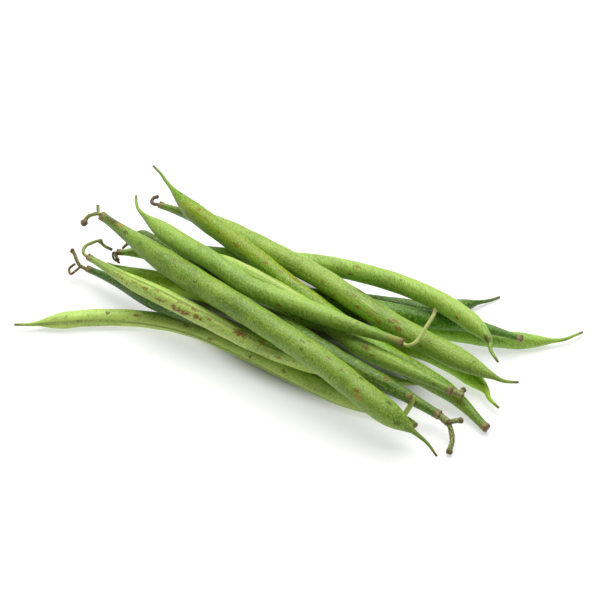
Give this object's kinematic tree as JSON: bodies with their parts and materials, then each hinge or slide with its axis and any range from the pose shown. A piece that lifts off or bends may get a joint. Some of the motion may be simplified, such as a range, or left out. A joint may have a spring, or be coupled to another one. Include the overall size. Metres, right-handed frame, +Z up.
{
  "type": "green bean bundle",
  "caption": "Loose bundle of fresh whole green beans heaped side by side, with curved pods, stem caps, stalks and thin hooked tails.",
  "frame": {"origin": "on the table under the middle of the heap's bounding box", "axes": "+X along the pods, stem ends of the upper pods mostly at -X; +Y across the heap, away from the stray front pod; +Z up"},
  "size_m": [0.1699, 0.1289, 0.0299],
  "materials": {
    "skin_stray_floor": "waxy green skin",
    "skin_floor_right": "waxy green skin",
    "skin_floor_long": "waxy green skin",
    "skin_floor_dark": "waxy green skin",
    "skin_back_floor": "waxy green skin",
    "skin_back_short": "waxy green skin",
    "skin_speckled": "waxy green skin",
    "skin_streaked": "waxy green skin",
    "skin_arched": "waxy green skin",
    "skin_second_row": "waxy green skin",
    "skin_upper_back": "waxy green skin",
    "skin_yellow": "waxy green skin",
    "skin_top_hook": "waxy green skin",
    "skin_front_long": "waxy green skin"
  },
  "bodies": {
    "root": {"bean_stray_floor": "skin_stray_floor", "bean_floor_right": "skin_floor_right", "bean_floor_long": "skin_floor_long", "bean_floor_dark": "skin_floor_dark", "bean_back_floor": "skin_back_floor", "bean_back_short": "skin_back_short", "bean_speckled": "skin_speckled", "bean_streaked": "skin_streaked", "bean_arched": "skin_arched", "bean_second_row": "skin_second_row", "bean_upper_back": "skin_upper_back", "bean_yellow": "skin_yellow", "bean_top_hook": "skin_top_hook", "bean_front_long": "skin_front_long"}
  },
  "joints": []
}
